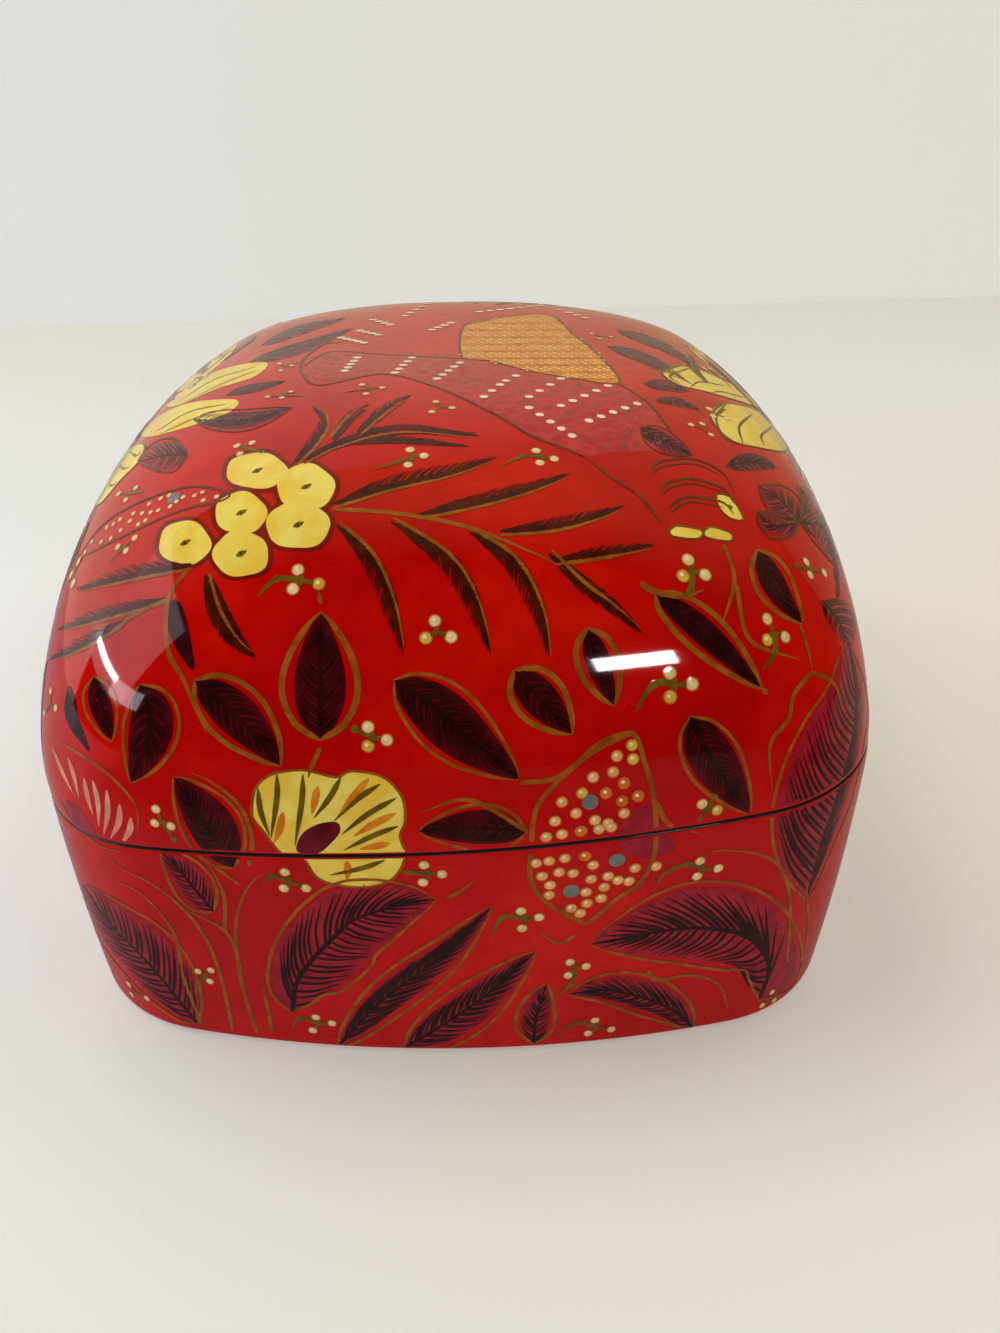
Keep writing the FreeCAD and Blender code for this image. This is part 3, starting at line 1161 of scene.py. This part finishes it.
def crown(view):
    """What only the top of the lid carries round its middle: petals, small leaves and a pod."""
    for line, lines in (
        ([(172, 392), (190, 366), (222, 345), (237, 346), (220, 364), (192, 386)],
         [[(182, 384), (204, 364), (230, 349)], [(190, 384), (210, 368), (231, 351)]]),
        ([(167, 405), (196, 382), (230, 367), (267, 363), (254, 377), (217, 389), (180, 405)],
         [[(178, 402), (214, 380), (256, 367)], [(184, 403), (220, 385), (258, 370)]]),
        ([(142, 435), (158, 417), (190, 403), (236, 400), (230, 412), (198, 424), (155, 436)],
         [[(156, 432), (190, 412), (228, 404)], [(160, 434), (194, 419), (229, 408)]]),
    ):
        petal(view, "yellow", line, lines=lines)
    for line, lines in (
        ([(91, 503), (108, 474), (126, 450), (144, 444), (140, 460), (121, 480), (100, 504)],
         [[(104, 480), (112, 486), (117, 482)], [(116, 462), (124, 469), (130, 466)],
          [(128, 450), (136, 456), (142, 452)]]),
        ([(662, 373), (680, 366), (705, 372), (738, 388), (764, 408), (735, 400), (707, 392), (679, 385)],
         [[(690, 368), (670, 376), (680, 384)], [(724, 386), (700, 382), (690, 388)],
          [(745, 398), (722, 392), (712, 393)]]),
        ([(710, 416), (723, 404), (750, 408), (772, 422), (787, 450), (755, 447), (729, 439)],
         [[(726, 404), (716, 418), (723, 436), (737, 445)], [(752, 414), (739, 427), (743, 444)],
          [(774, 426), (761, 436), (765, 447)]]),
    ):
        petal(view, "yellow", line, "olive", 2.5, lines)
    petal(view, "yellow", [(688, 346), (706, 350), (728, 364), (752, 386), (722, 372), (700, 358)])
    petal(view, "yellow", [(798, 458), (806, 468), (824, 504), (812, 494), (802, 478)])
    leaf(view, [(188, 454), (162, 456), (138, 462)], 14, 14, edge="brown", gap=3, pitch=5)
    for rib, left, right, edge, ink, spine in (
        ([(194, 420), (245, 420), (292, 408)], 8, 8, "brown", 2.2, 2.5),
        ([(226, 395), (256, 388), (287, 381)], 5, 4, None, 2.0, 2.2),
        ([(250, 362), (300, 348), (354, 328)], 6, 6, None, 2.0, 2.2),
        ([(262, 345), (300, 330), (345, 318)], 5, 5, None, 2.0, 2.2),
        ([(606, 346), (650, 360), (694, 386)], 5, 6, None, 2.0, 2.2),
        ([(616, 330), (660, 345), (700, 368)], 5, 5, None, 2.0, 2.2),
        ([(643, 384), (666, 386), (692, 392)], 6, 5, None, 2.0, 2.2),
        ([(656, 401), (676, 402), (700, 410)], 5, 4, None, 2.0, 2.2),
        ([(640, 428), (662, 440), (692, 455)], 8, 9, "brown", 2.6, 2.6),
        ([(726, 466), (752, 462), (778, 468)], 9, 9, None, 2.6, 2.6),
    ):
        leaf(view, rib, left, right, "plum", edge, gap=3, ink=ink, spine=spine, edge_width=3)
    for rib, left, right, edge in (
        ([(800, 522), (780, 500), (758, 486)], 14, 12, "brown"),
        ([(800, 522), (775, 526), (757, 512)], 10, 12, "brown"),
        ([(800, 522), (826, 530), (838, 566)], 14, 14, "brown"),
        ([(800, 522), (806, 500), (796, 484)], 8, 8, None),
        ([(822, 600), (838, 620), (850, 650)], 18, 10, None),
    ):
        leaf(view, rib, left, right, edge=edge, gap=3, pitch=5)
    pod_line = [(76, 560), (104, 524), (143, 501), (190, 487), (226, 492), (224, 500), (180, 511), (128, 534)]
    brush(view, "brown", [*pod_line, pod_line[0]], 3, even, even)
    sprinkle(view, pod_line, 6.5, 7.5)
    dot(view, "grey_dots", (174, 498), 15)
    berries(view, [(136, 488), (126, 500), (119, 494)], 8, [(142, 492)])
    berries(view, [(135, 538), (118, 547), (126, 551)], 9, [(112, 560)])
    berries(view, [(268, 397), (282, 398), (291, 392)], 7, [(300, 396)])
    berries(view, [(280, 364), (292, 366), (281, 371)], 7, [(300, 362)])
    berries(view, [(592, 334), (600, 339), (611, 337)], 6)
    berries(view, [(691, 425), (702, 424), (711, 435)], 8)
    berries(view, [(362, 385), (366, 394), (382, 388)], 8, [(346, 392)])


def field(view):
    """The plum-coloured field on the crown, with curls, brown outlines and rows of dots."""
    edge = [
        (303, 372), (330, 352), (376, 354), (424, 352), (462, 358), (525, 369), (618, 383), (650, 406), (672, 436),
        (655, 450), (612, 452), (580, 455), (532, 436), (500, 417), (462, 398), (430, 385), (383, 375), (330, 380),
    ]
    wash(view, "plum_field", edge)
    for line in (
        [(300, 372), (319, 385), (383, 374), (430, 385), (462, 398), (500, 417), (532, 436), (580, 455), (599, 468)],
        [(599, 468), (618, 482), (637, 494), (650, 508), (662, 524)],
        [(304, 366), (330, 352), (376, 354), (462, 359)],
        [(300, 372), (303, 360), (322, 345), (345, 342)],
        [(618, 383), (650, 405), (674, 436)],
    ):
        brush(view, "brown", line, 3.5, head=0.05, tail=0.2)
    corners = np.array(edge)
    for _ in range(420):
        start = np.array((hand.uniform(310, 670), hand.uniform(345, 455)))
        if inside(start, corners):
            curl = start + (hand.uniform(-6, 6), hand.uniform(-3, 3))
            bend = (start + curl) / 2 + (hand.uniform(-3, 3), hand.uniform(-2, 2))
            brush(view, "plum_lines", [start, bend, curl], 3.2, head=0.3, tail=0.3)
    dotted_rows = (
        ((345, 371), (357, 358), 5), ((395, 373), (412, 358), 5), ((437, 379), (460, 363), 5),
        ((484, 397), (500, 385), 3), ((341, 338), (364, 343), 5), ((360, 331), (378, 335), 4),
        ((373, 320), (390, 325), 4), ((405, 316), (427, 304), 5), ((432, 330), (451, 323), 4),
        ((506, 381), (516, 376), 2), ((529, 397), (561, 379), 4), ((529, 408), (572, 436), 5),
        ((561, 406), (608, 386), 5), ((589, 421), (637, 404), 5), ((480, 312), (540, 306), 7),
        ((560, 310), (585, 318), 4),
    )
    for start, end, count in dotted_rows:
        for share in np.arange(count) / (count - 1):
            place = [before + (after - before) * share for before, after in zip(start, end)]
            dot(view, "light_dots", place, 9)


def cloth(view):
    """The golden cloth on the crown, dotted all over, and the folds and petals beside it."""
    edge = [
        (465, 325), (500, 318), (548, 315), (573, 334), (597, 354), (619, 383), (564, 377), (525, 370), (490, 361),
        (462, 356),
    ]
    wash(view, "gold", edge)
    edging(view, "brown", edge, 3)
    corners = np.array(edge)
    for row in range(9):
        for column in range(19):
            u, v = 458 + column * 9 + (row % 2) * 4.5, 320 + row * 7
            if inside((u, v), corners):
                for place in ((u - 2.4, v), (u + 1.8, v - 1.5), (u + 1.6, v + 1.5)):
                    dot(view, "gold_dots", place, 3.8)
                brush(view, "brown", [(u - 4, v + 4), (u, v + 3), (u + 4, v + 4)], 1.2)
    for down in (0, 20, 38):
        aside = down * 0.5
        line = [(650 + aside, 470 + down), (660 + aside, 462 + down), (692, 459 + down), (722, 472 + down * 0.8)]
        brush(view, "brown", [*line, (734, 492 + down * 0.6)], 3.5, head=0.1, tail=0.3)
        brush(view, "brown", [(u + 2, v + 5) for u, v in line], 2.5, head=0.1, tail=0.5)
    petal(view, "yellow", [(717, 494), (730, 497), (743, 519), (730, 518), (719, 507)], "olive", 2)
    dot(view, "olive_dots", (730, 507), 6)
    petal(view, "yellow", [(670, 530), (676, 526), (700, 530), (702, 536), (694, 539), (672, 536)], "olive", 2)
    petal(view, "yellow", [(704, 531), (710, 527), (730, 533), (732, 540), (724, 541), (706, 537)], "olive", 2)


def pigment(name, dark, light, grain=1.6):
    """Body colour laid on with a small brush: two close tones that break up over grain millimetres."""
    material, web, inputs, where = surface(name, 0.4)
    tones = noise(web, where, grain * MM, 3.0)
    plug(web, inputs, "Base Color", ramp(web, tones, (0.38, srgb(*dark)), (0.62, srgb(*light))))
    varnish(web, inputs, where)
    return material


# Each paint has its two tones and a level, its height in millimetres over the thinnest paint of its kind. A
# last number is the grain of a paint that doesn't have the usual one.
wash_paints = {
    "plum_field": ((184, 36, 38), (204, 54, 50), 0, 1.0),
    "shade": ((120, 12, 8), (140, 20, 10), 0),
    "deep": ((72, 8, 14), (98, 12, 22), 0.004),
    "maroon": ((150, 20, 36), (178, 32, 48), 0.004),
    "plum": ((112, 30, 50), (134, 44, 62), 0.004),
    "ink_wash": ((48, 10, 16), (66, 14, 20), 0.004),
    "gold": ((222, 116, 8), (242, 148, 20), 0.006),
    "yellow": ((252, 206, 70), (255, 230, 106), 0.008, 3),
    "maroon_over": ((92, 10, 26), (116, 16, 34), 0.014),
}
stroke_paints = {
    "ink": ((38, 8, 12), (56, 12, 16), 0),
    "sepia": ((60, 16, 8), (86, 24, 10), 0),
    "plum_lines": ((132, 74, 76), (152, 90, 90), 0),
    "orange": ((222, 120, 20), (240, 150, 40), 0.002),
    "brown": ((96, 42, 14), (122, 58, 20), 0.004),
    "ochre": ((144, 74, 18), (172, 96, 28), 0.005),
    "peach": ((226, 140, 110), (240, 164, 132), 0.005),
    "olive": ((104, 78, 14), (128, 98, 26), 0.006),
}
dot_paints = {
    "amber": ((190, 104, 40), (208, 126, 54), 0),
    "olive_dots": ((96, 92, 12), (124, 116, 24), 0),
    "ink_dots": ((38, 20, 6), (52, 28, 8), 0.004),
    "grey_dots": ((112, 116, 112), (132, 134, 126), 0.002),
    "gold_dots": ((255, 220, 120), (255, 236, 160), 0.004),
    "orange_dots": ((224, 96, 30), (236, 116, 44), 0.012),
    "peach_dots": ((244, 156, 90), (254, 186, 120), 0.012),
    "green_gold": ((220, 168, 44), (238, 192, 72), 0.012),
    "cream": ((240, 196, 126), (248, 216, 152), 0.012),
    "light_dots": ((252, 222, 184), (255, 236, 208), 0.018),
}

photograph = View()
front_motifs = (foot_leaves, shoulder_leaves, scallop, pod, peach_fan, spray_feathers, disc_flowers)
side_motifs = (foot_leaves, shoulder_leaves, scallop, pod, spray_feathers)
for motif in (*front_motifs, crown, field, cloth):
    motif(photograph)
behind = View(turn=180)
for motif in front_motifs:
    motif(behind)
for turn in (90, 270):
    beside = View(turn=turn, away=10 * MM, left=60, right=880, top=440)
    for motif in side_motifs:
        motif(beside)

paint_all(wash_tree(), washes, wash_source, wash_paints, lift=0.018)
paint_all(brush_tree(), strokes, stroke_source, stroke_paints, lift=0.034)
paint_all(dot_tree(), dots, dot_source, dot_paints, lift=0.036)


# The stage: a pale table, a paler wall behind it, daylight from large windows and the camera of the photograph.
# None of it belongs to the box.
colour_change = 200 * MM
table_reach = 1.5
back_wall_left = (-193 * MM, 298 * MM)
back_wall_right = (240 * MM, 363 * MM)
back_wall_height = 0.6
window_aim = Vector((0, 0, 30 * MM))


def between(web, share, left, right):
    """A colour that goes from left to right with the share."""
    step = tuple(after - before for before, after in zip(left, right))
    return vector(web, "MULTIPLY_ADD", share, step, left)


def held(value, low, high):
    """The value, but never under low or over high."""
    return value.math("MAXIMUM", low).math("MINIMUM", high)


def plain(name, left, right, reach, glow, mirrored_left, mirrored_right, fade):
    """A matt surface that glows a little: painted light of its own that fills its shadows. Its colour changes
    from the left of the box to the right, less and less up to the distance reach behind it: painted light,
    cool on the left where the windows light it and warm to the right in the box's shadow. The varnish
    mirrors it in other colours, dimmed by fade(X, Y, Z): a painted reflection."""
    material, web, inputs, where = surface(name, 0.6, coat=0.0)
    place = web.add("ShaderNodeSeparateXYZ", [where])
    near = held(1 - place.of("Y") * (1 / reach), 0, 1)
    aside = held(place.of("X") * near * (1 / colour_change) + 0.5, 0, 1)
    colour = between(web, aside, srgb(*left), srgb(*right))
    mirrored = between(web, aside, srgb(*mirrored_left), srgb(*mirrored_right))
    shown = fade(place.of("X"), place.of("Y"), place.of("Z"))
    dimmed = scaled(web, mirrored, shown)
    glossy = web.add("ShaderNodeLightPath").of("Is Glossy Ray")
    tint = vector(web, "MULTIPLY_ADD", glossy, vector(web, "SUBTRACT", dimmed, colour), colour)
    plug(web, inputs, "Base Color", tint)
    plug(web, inputs, "Emission Color", tint)
    inputs["Emission Strength"].default_value = glow
    return material


def board(name, corners, material):
    """A flat piece of the stage."""
    mesh = bpy.data.meshes.new(name)
    mesh.from_pydata(corners, [], [(0, 1, 2, 3)])
    mesh.materials.append(material)
    made = bpy.data.objects.new(name, mesh)
    scene.collection.objects.link(made)


def along_wall(share):
    """A place on the foot of the wall: 0 is the left edge of the picture, 1 the right."""
    return [left + (right - left) * share for left, right in zip(back_wall_left, back_wall_right)]


def table_painted_mirror_shade(x, y, z):
    """Painted shade in the mirrored table: the varnish hardly mirrors the table in front of the box, where the camera
    stands in the way.
    """
    return held(y * 3.6 + 0.5, 0.03, 0.5)


def wall_painted_mirror_light(x, y, z):
    """In the varnish the wall is painted brightest low down and to the left: a painted reflection."""
    return (0.66 - z * 0.2).math("MAXIMUM", 0.15) + held(x * -1.3, 0, 0.6)


start, end = along_wall(-3), along_wall(4)
# The table and wall carry painted light: a glow, a cool-to-warm change from left to right near the box, and painted
# reflections in the varnish.
pale_table = plain(
    "pale_table", (205, 208, 209), (205, 200, 185), reach=0.2, glow=0.44,
    mirrored_left=(186, 192, 200), mirrored_right=(200, 190, 174), fade=table_painted_mirror_shade,
)
pale_wall = plain(
    "pale_wall", (238, 239, 239), (238, 238, 231), reach=1, glow=0.3,
    mirrored_left=(235, 224, 206), mirrored_right=(235, 212, 168), fade=wall_painted_mirror_light,
)
table_corners = [(-table_reach, -table_reach, 0), (table_reach, -table_reach, 0), (*end, 0), (*start, 0)]
wall_corners = [(*start, 0), (*end, 0), (*end, back_wall_height), (*start, back_wall_height)]
board("table_top", table_corners, pale_table)
board("back_wall", wall_corners, pale_wall)


def window(name, distance, turn, height, size, power, colour=(1, 1, 1), seen=True, lights=True):
    """Daylight from a direction: turn goes clockwise from +Y, height is above the horizon, both in degrees."""
    turn, height = math.radians(turn), math.radians(height)
    way = Vector((math.sin(turn) * math.cos(height), math.cos(turn) * math.cos(height), math.sin(height)))
    light = bpy.data.lights.new(name, "AREA")
    light.shape = "RECTANGLE"
    light.size, light.size_y = size
    light.energy = power
    light.color = colour
    made = bpy.data.objects.new(name, light)
    made.location = window_aim + way * distance
    made.rotation_euler = (-way).to_track_quat("-Z", "Y").to_euler()
    made.visible_glossy = seen
    made.visible_diffuse = lights
    scene.collection.objects.link(made)


window("daylight_left", 1.5, -66, 52, size=(1.2, 1.2), power=15.0, colour=(0.96, 0.98, 1), seen=False)
window("daylight_right", 1.6, 75, 56, size=(1.2, 1.2), power=4.6, colour=(1, 0.92, 0.8), seen=False)
window("far_window", 1.5, 156, 29, size=(0.27, 0.11), power=3.5)
window("left_window", 1.5, -94, 15.5, size=(0.6, 0.045), power=3.4, colour=(0.82, 0.92, 1))
window("left_pane", 1.5, -114, 13.5, size=(0.5, 0.13), power=0.9, colour=(0.86, 0.92, 1))
window("left_wall", 1.6, -86, 26, size=(1.7, 0.85), power=5.2, colour=(0.95, 0.97, 1), lights=False)

# The room beyond the windows. What the varnish mirrors of it is warmer than what it lights the box with: a
# ceiling on the side of the wall, and a dim glow behind the lid.
world = bpy.data.worlds.new("room")
world.use_nodes = True
room = Web(world.node_tree)
mirrored = room.add("ShaderNodeLightPath").of("Is Glossy Ray")
way = room.add("ShaderNodeSeparateXYZ", [room.add("ShaderNodeTexCoord").of("Generated")])
toward_wall = way.of("Y")
overhead = held(way.of("Z") * 1.6 - 0.6, 0, 1)
ceiling = held(toward_wall * 0.9 + 0.27, 0, 0.42) * overhead
behind_lid = toward_wall.math("MAXIMUM", 0) * 0.2
strength = room.choose(mirrored, ceiling + behind_lid + 0.02, (toward_wall * 0.3 + 0.27).math("MAXIMUM", 0.02))
warmth = between(room, mirrored, (1, 0.98, 0.92), (1, 0.74, 0.36))
sky = room.add("ShaderNodeBackground", {"Color": warmth, "Strength": strength})
room.add("ShaderNodeOutputWorld", {"Surface": sky})
scene.world = world

camera_data = bpy.data.cameras.new("camera")
camera_data.sensor_width = sensor_width
camera_data.lens = lens_length
camera_data.clip_start = 1 * MM
camera = bpy.data.objects.new("camera", camera_data)
camera.location = eye
camera.rotation_euler = gaze.to_track_quat("-Z", "Y").to_euler()
scene.collection.objects.link(camera)
scene.camera = camera
